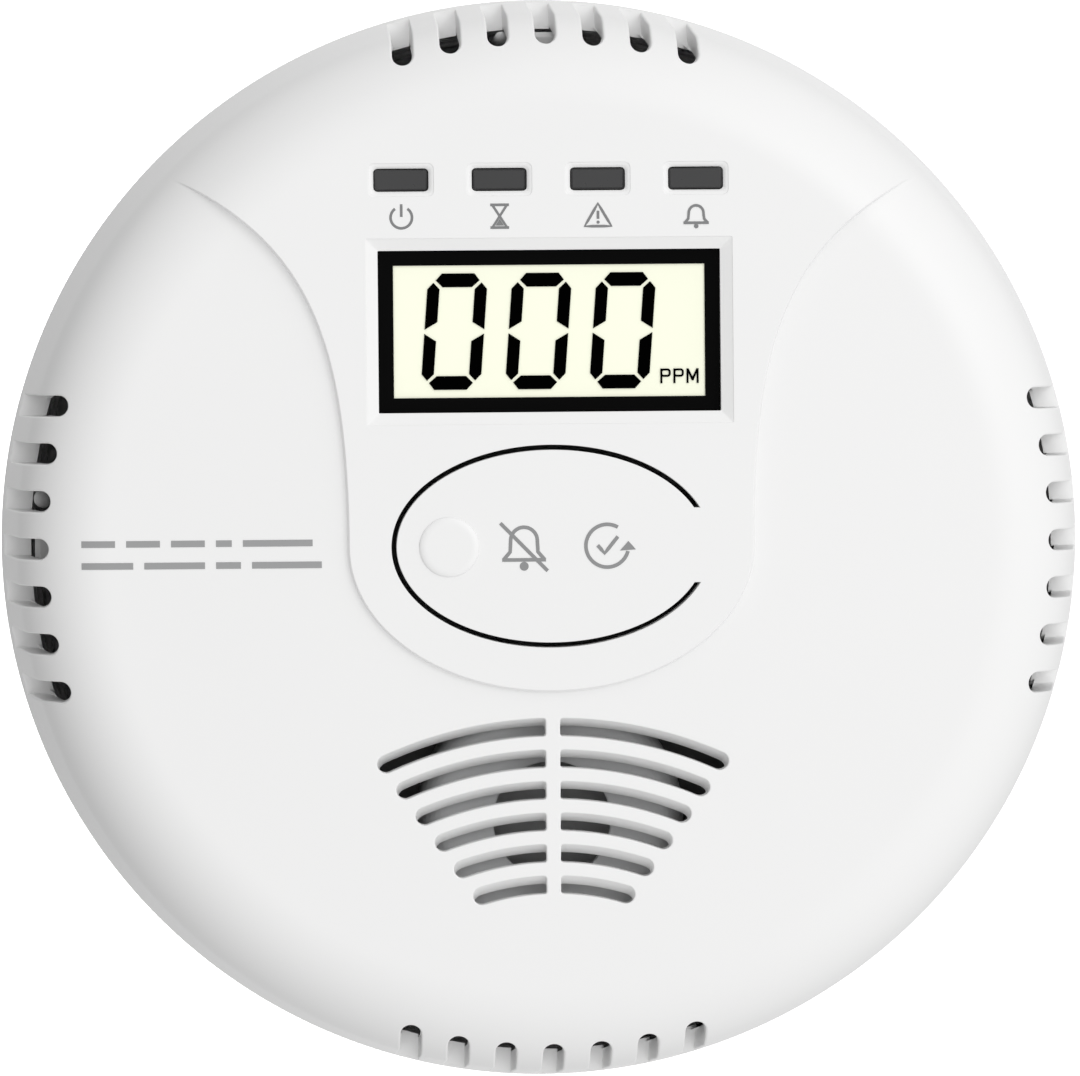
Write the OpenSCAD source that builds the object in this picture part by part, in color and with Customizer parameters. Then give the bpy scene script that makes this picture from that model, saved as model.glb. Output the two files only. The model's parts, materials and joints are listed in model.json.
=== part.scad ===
// Round wall-mounted carbon monoxide alarm with a live display.
// x right, y up and z out of the wall while modelling; the last step stands it up so that
// the front faces -Y, +Y points into the wall and +Z is up. Millimetres.

/* [Body] */
// outer diameter of the case at its rear rim
body_d = 105; // [102:0.5:110]
// height of the cover's rear rim above the wall
rim_z = 10; // [8:0.5:12]
// height of the raised panel above the wall
crown_z = 38; // [37.5:0.1:38.5]
// wall thickness of the cover
wall = 2; // [1.6:0.1:2.4]
// step between the raised panel and the lower face at the middle
ledge = 0.5; // [0.3:0.1:1]
// dome radius of the lower face
low_dome = 685; // [500:5:2000]
// dome radius of the raised panel
high_dome = 1088; // [700:2:3000]
// shoulder radius of the lower face
low_shoulder = 9; // [7.5:0.5:9]
// shoulder radius of the raised panel
high_shoulder = 8; // [6.5:0.5:8]
// radius of the side curve
side_r = 12; // [12:1:16]
// draft of the side wall in degrees
draft = 7; // [5:0.5:8]

/* [Vents] */
// number of slots in each of the four groups
vent_n = 7; // [3:2:9]
// distance between neighbouring slots
vent_pitch = 4.5; // [4:0.1:6]
// width of one slot
vent_w = 2; // [1.5:0.1:2.5]
// distance of the slots' inner ends from the axis
vent_in = 47.2; // [45:0.1:48]

/* [Display] */
// height of the display's centre above the axis
lcd_y = 20.15; // [18:0.05:23]
// width of the display opening
lcd_w = 32.1; // [28:0.1:36]
// height of the display opening
lcd_h = 15.2; // [12:0.1:18]
// width of the visible glass
glass_w = 29.2; // [26:0.1:34]
// height of the visible glass
glass_h = 12.4; // [10:0.1:16]
// height of one digit
digit_h = 10.9; // [10:0.1:12]
// width of one digit
digit_w = 5.6; // [5:0.1:7]
// distance between digits
digit_pitch = 7.9; // [6:0.1:9]

/* [Lights] */
// height of the four light windows above the axis
led_y = 34.35; // [32:0.05:36]
// distance between light windows
led_pitch = 9.2; // [7:0.1:10]
// width of a light window
led_w = 5; // [4:0.1:6]
// height of a light window
led_h = 2; // [1.8:0.1:3]

/* [Button] */
// half width of the button's slot outline
tab_a = 15; // [12:0.1:17]
// half height of the button's slot outline
tab_b = 9.5; // [8:0.1:11]
// width of the slot around the button
slot_w = 0.48; // [0.3:0.02:0.8]
// distance of the hinge line from the axis
hinge_x = 14.5; // [13:0.1:15]
// half length of the hinge line
hinge_h = 3.5; // [2:0.1:5]
// position of the raised pip
pip_x = -9.6; // [-12:0.1:-6]
// diameter of the raised pip
pip_d = 5.6; // [4:0.1:7]

/* [Grille] */
// centre of the grille's arcs, below the axis
grille_y = -55.3; // [-60:0.1:-50]
// radius of the outermost arc
grille_r = 38.3; // [36:0.1:40]
// distance between arcs
grille_pitch = 2.97; // [2.5:0.01:3.5]
// number of arcs
grille_n = 6; // [4:1:8]
// half width of the outermost arc
grille_half = 16.5; // [14:0.1:18]
// height of one arc slot
grille_open = 1.7; // [1.2:0.1:2]
// width of the centre bar
grille_bar = 1.35; // [1:0.05:2]

/* [Batteries] */
// diameter of a cell
cell_d = 14.3; // [14:0.1:14.5]
// length of a cell
cell_l = 50.4; // [50:0.1:50.5]
// distance between cells
cell_pitch = 15.2; // [15:0.1:16]

/* [Mounting] */
// diameter of the mounting plate
plate_d = 94.4; // [90:0.2:96]
// distance between the two screw holes
hole_spacing = 60; // [50:1:70]
// diameter of a screw hole
hole_d = 4.4; // [4:0.1:5]
// twist between the locked and the open position in degrees
twist = 15; // [12:1:18]

/* [Hidden] */
$fn = 96;
body_r = body_d / 2;
low_z = crown_z - ledge;
pcb_z = 22.6;
pcb_top = pcb_z + 1.6;
floor_z = 4;
boss_x = 27;
boss_y = 30;
split_z = 22;
cell_z = 12.6;
bay_x = 56;
bay_y = 2 * cell_pitch + cell_d + 1.2;
bay_top = 20.4;
hook_a = twist / 2;
tab_under = 35.7;
glass_z = 36.1;
pip_z = 37.95;
sill_z = rim_z + 6.1;
sill_r = body_r - 3.1;
vent_out = body_r - 0.5;
plunger_top = 30;
lug_z = rim_z + 9.5;
buzzer_y = -26;
cover_white = [0.93, 0.93, 0.92];
base_white = [0.88, 0.88, 0.87];
black = [0.06, 0.06, 0.06];
steel = [0.75, 0.76, 0.78];

// Geometry helpers

function unit(v) = v / norm(v);
function meet(a, ra, b, rb) =
    let (u = unit(b - a), d = norm(b - a), t = (d * d + ra * ra - rb * rb) / (2 * d))
    a + t * u + sqrt(ra * ra - t * t) * [u.y, -u.x];
function oval(a, b, n, from, to) =
    [for (i = [0 : n]) let (t = from + (to - from) * i / n) [a * cos(t), b * sin(t)]];
function bezier(p, n) =
    [for (i = [1 : n])
        let (t = i / n, s = 1 - t)
        s * s * s * p[0] + 3 * s * s * t * p[1] + 3 * s * t * t * p[2] + t * t * t * p[3]];
function arc(c, r, from, to, n) =
    [for (i = [from == draft ? 0 : 1 : n])
        let (a = from + (to - from) * i / n)
        c + r * [cos(a), sin(a)]];
function flip(p) = [for (i = [len(p) - 1 : -1 : 0]) [-p[i].x, p[i].y]];

wall_n = [cos(draft), sin(draft)];
side_z = 27.5;
side_x = body_r - (side_z - rim_z) * tan(draft);
side_c = [side_x, side_z] - side_r * wall_n;

// Half section of the case outline, moved inward by t.
module section(top, dome, shoulder, t, bottom) {
    crown_c = [0, top - dome];
    c = meet(crown_c, dome - shoulder, side_c, side_r - shoulder);
    up = atan2(c.y - crown_c.y, c.x);
    out = atan2(c.y - side_c.y, c.x - side_c.x);
    toe = [body_r - (bottom - rim_z) * tan(draft), bottom] - t * wall_n;
    polygon(concat(
        [[0, bottom], toe],
        arc(side_c, side_r - t, draft, out, 5),
        arc(c, shoulder - t, out, up, 7),
        arc(crown_c, dome - t, up, 90, 5)
    ));
}

module low_form(t, bottom) {
    rotate_extrude() section(low_z, low_dome, low_shoulder, t, bottom);
}

module high_form(t, bottom) {
    rotate_extrude() section(crown_z, high_dome, high_shoulder, t, bottom);
}

// Raised panel: a half oval around the button that sweeps out to the shoulders.
module panel_shape() {
    side = bezier([[19, 0], [19, 19.8], [22.6, 28.6], [35.4, 34.8]], 16);
    low = oval(19, 13.6, 32, 180, 360);
    polygon(concat(low, side, [[46, 42], [46, 60], [-46, 60], [-46, 42]], flip(side)));
}

module rrect(w, h, r) {
    square([w - 2 * r, h], center = true);
    square([w, h - 2 * r], center = true);
    for (x = [-1, 1], y = [-1, 1]) translate([x * (w / 2 - r), y * (h / 2 - r)]) circle(r = r);
}

module block(x, y, z0, z1) {
    translate([-x / 2, -y / 2, z0]) cube([x, y, z1 - z0]);
}

module post(r, z0, z1) {
    translate([0, 0, z0]) cylinder(r = r, h = z1 - z0);
}

module tube(r_in, r_out, z0, z1) {
    rotate_extrude() translate([r_in, z0]) square([r_out - r_in, z1 - z0]);
}

module bosses() {
    for (x = [-1, 1], y = [-1, 1]) translate([x * boss_x, y * boss_y, 0]) children();
}

module standoffs() {
    for (x = [-1, 1], y = [-1, 1]) translate([38 * x, 18 * y, 0]) children();
}

module upright() {
    rotate([90, 0, 0]) children();
}

// Openings in the cover

module vent_shape() {
    for (q = [0 : 3], i = [-(vent_n - 1) / 2 : (vent_n - 1) / 2]) {
        x = i * vent_pitch;
        y = sqrt(vent_in * vent_in - x * x) + vent_w / 2;
        rotate(90 * q) {
            translate([x - vent_w / 2, y]) square([vent_w, 60 - y]);
            translate([x, y]) circle(r = vent_w / 2);
        }
    }
}

// The slots' floors slope down from the sill to the side wall.
module vents() {
    vent_foot = rim_z + (body_r - vent_out) / tan(draft);
    intersection() {
        translate([0, 0, 5]) linear_extrude(40) vent_shape();
        rotate_extrude()
            polygon([[40, sill_z], [sill_r, sill_z], [vent_out, vent_foot], [vent_out, 44], [40, 44]]);
    }
}

module tab_hole() {
    difference() {
        union() {
            polygon(oval(tab_a, tab_b, 96, 0, 356.25));
            translate([hinge_x - 4, -hinge_h]) square([4, 2 * hinge_h]);
        }
        translate([hinge_x, -hinge_h]) square([4, 2 * hinge_h]);
    }
}

module tab_shape() {
    difference() {
        union() {
            polygon(oval(tab_a - slot_w, tab_b - slot_w, 96, 0, 356.25));
            translate([hinge_x - 4, 0.04 - hinge_h]) square([4, 2 * hinge_h - 0.08]);
        }
        translate([hinge_x - 0.06, -hinge_h - 1]) square([4, 2 * hinge_h + 2]);
    }
}

module display_hole() {
    x = lcd_w / 2;
    y = lcd_h / 2;
    translate([0, lcd_y, 0]) {
        block(lcd_w, lcd_h, 30, 44);
        // shallow four-sided bevel, 1.1 mm wide at the face
        hull() {
            block(lcd_w, lcd_h, 37.25, 37.3);
            block(lcd_w + 5.6, lcd_h + 5.6, 38.7, 38.75);
        }
    }
}

module light_holes() {
    for (i = [-1.5 : 1.5]) translate([i * led_pitch, led_y, 0]) {
        translate([0, 0, 30]) linear_extrude(14) rrect(led_w + 0.16, led_h + 0.16, 0.3);
        // narrow bevel round each window
        hull() {
            block(led_w + 0.16, led_h + 0.16, 37.13, 37.18);
            block(led_w + 6.2, led_h + 6.2, 38.65, 38.7);
        }
    }
}

// One arc slot: the upper side slopes, so a straight look in meets a light wall.
module arc_slot(r, half) {
    end = asin((half - grille_open / 2) / r);
    bar = asin(grille_bar / 2 / r);
    w = grille_open / 2;
    for (s = [0, 1]) mirror([s, 0, 0]) translate([0, grille_y, 0]) {
        rotate([0, 0, 90 - end]) {
            rotate_extrude(angle = end - bar)
                polygon([[r - w, 32], [r, 32], [r, 35.6], [r + w, 37.9], [r + w, 40], [r - w, 40]]);
            translate([r - w / 2, 0, 32]) cylinder(r = w / 2, h = 8);
            translate([r, 0, 36.9]) cylinder(r = w, h = 3);
        }
    }
}

module grille() {
    for (k = [0 : grille_n - 1])
        arc_slot(grille_r - k * grille_pitch, grille_half - k * 1.78);
}

// Nodes

module front_cover() color(cover_white) upright() {
    difference() {
        union() {
            difference() {
                union() {
                    low_form(0, rim_z);
                    intersection() {
                        translate([0, 0, 25]) linear_extrude(20) panel_shape();
                        high_form(0, rim_z);
                    }
                }
                low_form(wall, rim_z - 1);
            }
            intersection() {
                bosses() post(3.4, split_z, 38);
                low_form(wall / 2, rim_z);
            }
            // sill inside the wall that closes the vents' outer ends and seats on the base
            rotate_extrude() translate([body_r, rim_z])
                polygon([[-3.1, 2.9], [-1.5, 2.9], [-1.5, 7.2], [-3.1, 6.4]]);
        }
        vents();
        translate([0, 0, 30]) linear_extrude(14) tab_hole();
        display_hole();
        light_holes();
        grille();
        bosses() post(1.45, split_z - 1, 31);
    }
}

module button_tab() color(cover_white) upright() {
    intersection() {
        translate([0, 0, tab_under]) linear_extrude(6) tab_shape();
        high_form(0, rim_z);
    }
    translate([pip_x, 0, 0]) {
        rotate_extrude() polygon([
            [0, 37], [pip_d / 2, 37],
            for (a = [0 : 15 : 90]) [pip_d / 2 - 0.7 + 0.7 * cos(a), pip_z + 0.3 * sin(a)],
            [0, pip_z + 0.3]
        ]);
        post(1.6, 31.5, 36);
        post(1.2, plunger_top + 0.83, 32);
        translate([0, 0, plunger_top + 0.83]) sphere(r = 0.8);
    }
}

module lcd_bezel() color(black) upright() translate([0, lcd_y, 0]) {
    difference() {
        union() {
            block(34.6, 17.6, 33.5, 34.5);
            block(lcd_w - 0.1, lcd_h - 0.1, 33.5, glass_z + 0.15);
        }
        block(glass_w, glass_h, 33, 37);
        block(30.9, 14.1, 33, glass_z);
    }
}

module lcd_panel() color([0.97, 0.97, 0.9]) upright() translate([0, lcd_y, 0]) {
    block(30.7, 13.9, 33.8, glass_z);
}

// Six lit bars of a seven-bar zero, leaning slightly to the right.
module zero() {
    w = digit_w / 2;
    h = digit_h / 2;
    end_bar = [[w - 1.28, h], [w - 0.74, h - 0.65], [w - 1.43, h - 1.29]];
    side_bar = [[w, h - 1.47], [w - 0.54, h - 0.86], [w - 1.15, h - 1.47], [w - 1.15, 0.9], [w, 0.2]];
    for (up = [-1, 1]) {
        lit([for (p = end_bar) [p.x, up * p.y], for (i = [2 : -1 : 0]) [-end_bar[i].x, up * end_bar[i].y]]);
        for (s = [-1, 1]) lit([for (p = side_bar) [s * p.x, up * p.y]]);
    }
}

module lit(points) {
    polygon([for (p = points) [p.x + 0.075 * p.y, p.y]]);
}

module letter_p() {
    square([0.19, 1.38]);
    translate([0.49, 0.99]) difference() {
        rrect(0.98, 0.78, 0.3);
        rrect(0.6, 0.4, 0.12);
    }
}

module letter_m() {
    for (x = [0, 0.95]) translate([x, 0]) square([0.19, 1.38]);
    polygon([[0, 1.38], [0.2, 1.38], [0.57, 0.6], [0.94, 1.38], [1.14, 1.38], [0.65, 0.25], [0.49, 0.25]]);
}

module lcd_segments() color(black) upright() translate([0, lcd_y, glass_z]) linear_extrude(0.1) {
    for (i = [0 : 2]) translate([i * digit_pitch - 8.9, 0]) zero();
    translate([10.4, -5]) letter_p();
    translate([11.63, -5]) letter_p();
    translate([12.86, -5]) letter_m();
}

module lcd_holder() color(base_white) upright() translate([0, lcd_y, 0]) difference() {
    block(34.6, 17.6, pcb_top, 33.5);
    block(31.8, 14.9, pcb_top - 1, 34);
}

module lcd_backlight() color([0.95, 0.97, 0.98]) upright() translate([0, lcd_y, 0]) {
    block(30.6, 10.2, 26.4, 33.8);
    for (x = [-1, 1]) translate([x * 14, 0, 0]) block(1.6, 8, pcb_top, 27);
}

module lcd_connectors() color([0.85, 0.45, 0.5]) upright() {
    for (s = [-1, 1]) translate([0, lcd_y + 6.2 * s, 0]) block(28, 1.6, pcb_top, 33.8);
}

module light_guides() color([0.25, 0.25, 0.25]) upright() {
    for (i = [-1.5 : 1.5]) translate([i * led_pitch, led_y, 27.2]) {
        linear_extrude(9.65) rrect(led_w, led_h, 0.3);
        hull() {
            translate([0, 0, 9.6]) linear_extrude(0.05) rrect(led_w, led_h, 0.3, $fn = 32);
            translate([0, 0, 9.8]) linear_extrude(0.05) rrect(led_w - 0.4, led_h - 0.4, 0.2, $fn = 32);
        }
    }
    translate([0, led_y, 0]) block(38.4, 3.4, 30, 31.4);
    for (x = [-1, 1]) translate([x * 18.2, led_y, 0]) block(2, 2, pcb_top, 30.2);
}

module led(tint) {
    color([0.95, 0.95, 0.93]) block(3.2, 2.4, pcb_top, pcb_top + 1.2);
    color(tint) translate([0, 0, pcb_top + 1.2]) cylinder(r = 0.9, h = 0.9);
}

module led_power() upright() translate([-1.5 * led_pitch, led_y, 0]) led([0.2, 0.8, 0.3]);

module led_life() upright() translate([-0.5 * led_pitch, led_y, 0]) led([0.95, 0.75, 0.2]);

module led_fault() upright() translate([0.5 * led_pitch, led_y, 0]) led([0.95, 0.6, 0.1]);

module led_alarm() upright() translate([1.5 * led_pitch, led_y, 0]) led([0.9, 0.15, 0.1]);

module main_board() color([0.08, 0.09, 0.09]) upright() difference() {
    post(46.6, pcb_z, pcb_top);
    bosses() post(3.9, pcb_z - 1, pcb_top + 1);
    standoffs() post(1.3, pcb_z - 1, pcb_top + 1);
    translate([29, -10, 0]) for (x = [-1, 1]) translate([x * 4, 0, 0]) post(0.6, 20, 26);
}

module microcontroller() color([0.12, 0.12, 0.13]) upright() translate([-28, 2, 0]) {
    block(9, 9, pcb_top + 0.2, pcb_top + 1.6);
    for (q = [0 : 3], i = [-3.5 : 3.5]) rotate([0, 0, 90 * q]) translate([i, 5, 0]) {
        block(0.4, 1.4, pcb_top, pcb_top + 0.5);
    }
}

module capacitors() color([0.2, 0.22, 0.3]) upright() {
    for (p = [[-30, -17], [-21, -24], [-19, -34]]) translate([p.x, p.y, 0]) {
        post(3.15, pcb_top, 31.2);
    }
}

module boost_coil() color([0.5, 0.3, 0.15]) upright() translate([18.5, -31, 0]) {
    post(4, pcb_top, 25.2);
    post(3.2, 25, 29.5);
    post(4, 29.2, 30.2);
}

module switch_body() color([0.15, 0.15, 0.16]) upright() translate([pip_x, 0, 0]) {
    difference() {
        block(6, 6, pcb_top, 27.9);
        post(1.85, 26.4, 29);
    }
}

module switch_plunger() color([0.5, 0.12, 0.1]) upright() translate([pip_x, 0, 0]) {
    post(1.7, 27, plunger_top);
}

module buzzer_housing() color([0.55, 0.56, 0.57]) upright() translate([0, buzzer_y, 0]) {
    rotate_extrude() polygon(concat(
        [[9.6, pcb_top], [12.6, pcb_top], [12.6, 30.5]],
        arc([10, 30.5], 2.6, 0, 90, 8),
        [[5.55, 33.1], [5.55, 31.9], [10, 31.9]],
        arc([10, 30.5], 1.4, 90, 0, 5),
        [[11.4, 27.5], [10.8, 27.5], [10.8, 27.2], [9.6, 27.2]]
    ));
}

module piezo_disc() color([0.35, 0.35, 0.36]) upright() translate([0, buzzer_y, 0]) {
    post(10.6, 27.2, 27.5);
    post(7, 27.5, 27.8);
}

module co_sensor() color(steel) upright() translate([29, -10, 0]) difference() {
    union() {
        post(8, pcb_top + 0.4, 31.6);
        post(7, 31.5, 32.2);
    }
    post(1.4, 31, 33);
}

module sensor_pins() color([0.85, 0.7, 0.35]) upright() translate([29, -10, 0]) {
    for (x = [-1, 1]) translate([x * 4, 0, 0]) post(0.5, 22.05, pcb_top + 0.4);
}

// One cell along x; s = 1 puts the raised contact on the right.
module cell(row, s) {
    l = s * (bay_x / 2 - 0.4);
    color([0.16, 0.18, 0.2]) upright() translate([l, row * cell_pitch, cell_z]) {
        rotate([0, -90 * s, 0]) {
            translate([0, 0, 1.3]) cylinder(r = cell_d / 2, h = cell_l - 1.7);
            cylinder(r = 2.7, h = 1.4);
            translate([0, 0, cell_l - 0.5]) cylinder(r = 5, h = 0.5);
        }
    }
}

module battery_1() cell(1, 1);

module battery_2() cell(0, -1);

module battery_3() cell(-1, 1);

module battery_springs() color(steel) upright() {
    for (row = [-1 : 1]) translate([0, row * cell_pitch, cell_z]) {
        s = row == 0 ? -1 : 1;
        gap = bay_x - 0.8 - cell_l;
        rotate([0, -90 * s, 0]) {
            translate([0, 0, bay_x / 2 - 0.4]) translate([-5, -5, 0]) cube([10, 10, 0.4]);
            for (i = [0 : 3]) translate([0, 0, bay_x / 2 - 0.4 - gap + 0.35 + i * gap / 4]) {
                rotate_extrude() translate([2.6 + 0.35 * i, 0]) circle(r = 0.35, $fn = 24);
                translate([i % 2 == 0 ? 2.45 + 0.35 * i : -3.05 - 0.35 * i, -0.3, 0]) {
                    cube([0.6, 0.6, gap / 4 - 0.2]);
                }
            }
        }
    }
}

module battery_plates() color(steel) upright() {
    for (row = [-1 : 1]) translate([0, row * cell_pitch, cell_z]) {
        s = row == 0 ? -1 : 1;
        rotate([0, 90 * s, 0]) translate([-5, -5, bay_x / 2 - 0.4]) cube([10, 10, 0.4]);
    }
}

module board_screws() color(steel) upright() standoffs() {
    difference() {
        post(2.3, pcb_top, pcb_top + 1.8);
        block(0.6, 3.4, pcb_top + 1, pcb_top + 3);
        block(3.4, 0.6, pcb_top + 1, pcb_top + 3);
    }
    post(1.1, 15, pcb_top + 0.1);
}

module case_screws() color(steel) upright() bosses() {
    difference() {
        post(2.7, 6, 8.4);
        block(0.8, 3.8, 5, 7);
        block(3.8, 0.8, 5, 7);
    }
    post(1.4, 8.3, 30);
}

// Slot for one mounting hook: a wide entry, then a narrow arc under the locked position.
module hook_slot() {
    for (q = [0 : 3]) rotate([0, 0, 90 * q]) {
        rotate([0, 0, -14]) rotate_extrude(angle = 13) translate([41.2, 2]) square([6.1, 5]);
        rotate([0, 0, -14]) rotate_extrude(angle = 26.5) translate([41.2, 2]) square([3.1, 5]);
    }
}

// Snap lug whose top slopes towards the cover's wall.
module snap_lug() {
    translate([-1.7, body_r - 3.55, 0]) rotate([90, 0, 90]) linear_extrude(3.4)
        polygon([[-1.5, floor_z], [0, floor_z], [0, lug_z - 1.2], [-0.5, lug_z - 0.4], [-1.5, lug_z]]);
}

// Round locating pin with a domed top.
module pin(r) {
    rotate_extrude() polygon([
        [0, floor_z], [r, floor_z],
        for (a = [0 : 15 : 75]) [r * cos(a), lug_z - 0.6 + 0.6 * sin(a)],
        [0, lug_z]
    ]);
}

module base_housing() color(base_white) upright() difference() {
    union() {
        tube(body_r - 3.7, body_r - 1.6, 1, rim_z - 0.2);
        tube(body_r - wall - 1.3, body_r - wall - 0.6, rim_z - 1, rim_z + 2.8);
        post(body_r - 3.5, floor_z, floor_z + 1.6);
        block(bay_x + 3.2, bay_y + 3.2, floor_z, bay_top + 1.5);
        bosses() post(3.4, floor_z, split_z);
        standoffs() post(2.8, floor_z, pcb_z);
        // a snap lug and a locating pin behind the top and left groups of slots
        for (q = [0, 1]) rotate([0, 0, 90 * q]) snap_lug();
        translate([-3.7, body_r - 4.1, 0]) pin(0.6);
        translate([4.4 - body_r, 4.5, 0]) pin(0.9);
    }
    block(bay_x, bay_y, 0, bay_top);
    hook_slot();
    bosses() post(3, 0, 8.4);
    bosses() post(1.6, 0, split_z + 1);
    standoffs() post(1.1, 14, pcb_z + 1);
}

module mounting_plate() color(cover_white) upright() difference() {
    union() {
        post(plate_d / 2, 0, 2.2);
        tube(plate_d / 2 - 1.6, plate_d / 2, 0, 3.2);
        for (q = [0 : 3]) rotate([0, 0, 90 * q + hook_a]) {
            rotate([0, 0, -3.5]) rotate_extrude(angle = 7) translate([41.8, 1]) square([2, 6.4]);
            rotate([0, 0, -5]) rotate_extrude(angle = 10) translate([41.8, 5.9]) square([4.8, 1.5]);
        }
    }
    for (x = [-1, 1]) translate([x * hole_spacing / 2, 0, 0]) post(hole_d / 2, -1, 4);
    for (y = [-1, 1]) translate([0, y * 32, -1]) linear_extrude(5) rrect(hole_d, 12, hole_d / 2 - 0.01);
    for (y = [-1, 1]) translate([0, y * cell_pitch, -1]) linear_extrude(5) rrect(34, 9, 2);
}

mounting_plate();
base_housing();
front_cover();
button_tab();
lcd_bezel();
lcd_panel();
lcd_segments();
lcd_holder();
lcd_backlight();
lcd_connectors();
light_guides();
led_power();
led_life();
led_fault();
led_alarm();
main_board();
microcontroller();
capacitors();
boost_coil();
switch_body();
switch_plunger();
buzzer_housing();
piezo_disc();
co_sensor();
sensor_pins();
battery_1();
battery_2();
battery_3();
battery_springs();
battery_plates();
board_screws();
case_screws();
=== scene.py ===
"""Looks for the round carbon monoxide alarm: cover, press tab, prints, materials, light, camera."""

import json
import math

import bpy
import numpy as np
from mathutils import Matrix, Vector
from mathutils.geometry import delaunay_2d_cdt
from mathutils.kdtree import KDTree


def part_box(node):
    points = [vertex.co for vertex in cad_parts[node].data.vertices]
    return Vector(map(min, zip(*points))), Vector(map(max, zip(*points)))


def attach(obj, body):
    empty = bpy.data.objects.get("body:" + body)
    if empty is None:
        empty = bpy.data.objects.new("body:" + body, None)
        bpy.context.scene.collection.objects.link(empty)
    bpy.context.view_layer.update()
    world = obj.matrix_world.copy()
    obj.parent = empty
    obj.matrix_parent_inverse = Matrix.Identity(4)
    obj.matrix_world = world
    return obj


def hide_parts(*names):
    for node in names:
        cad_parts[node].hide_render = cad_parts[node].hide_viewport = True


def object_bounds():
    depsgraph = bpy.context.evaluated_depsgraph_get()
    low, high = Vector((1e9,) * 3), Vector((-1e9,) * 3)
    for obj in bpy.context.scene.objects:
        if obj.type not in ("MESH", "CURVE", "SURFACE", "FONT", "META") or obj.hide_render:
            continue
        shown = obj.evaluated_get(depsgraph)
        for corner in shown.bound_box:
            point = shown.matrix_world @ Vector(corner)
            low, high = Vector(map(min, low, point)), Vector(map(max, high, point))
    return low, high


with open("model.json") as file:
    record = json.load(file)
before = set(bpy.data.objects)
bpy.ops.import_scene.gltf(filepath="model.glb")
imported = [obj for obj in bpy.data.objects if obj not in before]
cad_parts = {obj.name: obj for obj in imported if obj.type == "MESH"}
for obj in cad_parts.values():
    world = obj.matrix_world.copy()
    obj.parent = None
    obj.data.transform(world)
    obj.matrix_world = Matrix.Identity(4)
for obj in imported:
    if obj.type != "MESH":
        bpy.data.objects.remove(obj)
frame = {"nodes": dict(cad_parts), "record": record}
cad_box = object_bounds()
MM = 0.001

# ---------------------------------------------------------------- sizes, in mm
# The part's own axes are used while modelling: x right, y up, z out of the wall.

BODY_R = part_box("front_cover")[1].x / MM
CROWN_Z = -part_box("front_cover")[0].y / MM
RIM_Z = -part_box("front_cover")[1].y / MM
WALL = 2.0
LEDGE = 0.5
LOW_DOME, HIGH_DOME = 685.0, 1088.0
LOW_SHOULDER, HIGH_SHOULDER = 9.0, 8.0
SIDE_R, SIDE_Z, DRAFT = 12.0, 27.5, math.radians(7)
RIM_ROUND = 0.3
MERGE_R = 49.4  # outside this the panel and the lower face are one surface
TURN_R = 49.0  # outside this the inner face is paired with the outer one along the side

VENT_COUNT, VENT_PITCH, VENT_W = 7, 4.5, 2.0
VENT_IN, VENT_OUT, VENT_LIP = 47.2, 52.0, 49.4
SILL_Z, SILL_FOOT = 16.1, 12.9
LCD_Y, LCD_W, LCD_H, LCD_BEVEL, LCD_DROP = 20.15, 32.1, 15.2, 1.1, 0.5
LED_Y, LED_PITCH, LED_W, LED_H, LED_BEVEL, LED_DROP = 34.35, 9.2, 5.16, 2.16, 0.45, 0.28
TAB_A, TAB_B, GAP, HINGE_X, HINGE_H = 15.0, 9.5, 0.48, 14.5, 3.5
TAB_UNDER = 35.7
PIP_X, PIP_R, PIP_RISE, PIP_ROUND = -9.6, 2.8, 0.3, 0.7
GRILLE_Y, GRILLE_R, GRILLE_PITCH, GRILLE_N = -55.3, 38.3, 2.97, 6
GRILLE_OPEN, GRILLE_HALF, GRILLE_STEP, GRILLE_BAR, LOUVER_LEAN = 1.7, 16.5, 1.78, 1.35, 0.5
PRINT_LIFT, STROKE_LIFT = 0.012, 0.002


# ---------------------------------------------------------------- case outline


def meet(a, ra, b, rb):
    """The right-hand point where two circles cross."""
    a, b = np.array(a), np.array(b)
    d = np.linalg.norm(b - a)
    u = (b - a) / d
    t = (d * d + ra * ra - rb * rb) / (2 * d)
    return a + t * u + math.sqrt(ra * ra - t * t) * np.array([u[1], -u[0]])


def arc(centre, r, start, end, n):
    a = np.linspace(start, end, n + 1)
    return np.column_stack([centre[0] + r * np.cos(a), centre[1] + r * np.sin(a)])


def case_curve(top, dome, shoulder, inset=0.0):
    """Half section from the axis to the rear rim, as points (r, z)."""
    side_x = BODY_R - (SIDE_Z - RIM_Z) * math.tan(DRAFT)
    normal = np.array([math.cos(DRAFT), math.sin(DRAFT)])
    side_c = np.array([side_x, SIDE_Z]) - SIDE_R * normal
    crown_c = np.array([0.0, top - dome])
    c = meet(crown_c, dome - shoulder, side_c, SIDE_R - shoulder)
    up = math.atan2(*(c - crown_c)[::-1])
    out = math.atan2(*(c - side_c)[::-1])
    toe = np.array([BODY_R, RIM_Z]) - inset * normal
    parts = [
        arc(crown_c, dome - inset, math.pi / 2, up, 60),
        arc(c, shoulder - inset, up, out, 40)[1:],
        arc(side_c, SIDE_R - inset, out, DRAFT, 40)[1:],
    ]
    curve = np.vstack(parts)
    return np.vstack([curve, np.linspace(curve[-1], toe, 20)[1:]])


def lengths(curve):
    step = np.linalg.norm(np.diff(curve, axis=0), axis=1)
    return np.concatenate([[0], np.cumsum(step)])


LOW = case_curve(CROWN_Z - LEDGE, LOW_DOME, LOW_SHOULDER)
HIGH = case_curve(CROWN_Z, HIGH_DOME, HIGH_SHOULDER)
INNER = case_curve(CROWN_Z - LEDGE, LOW_DOME, LOW_SHOULDER, WALL)
LOW_LEN = lengths(LOW)
RIM_LEN = LOW_LEN[-1]

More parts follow.
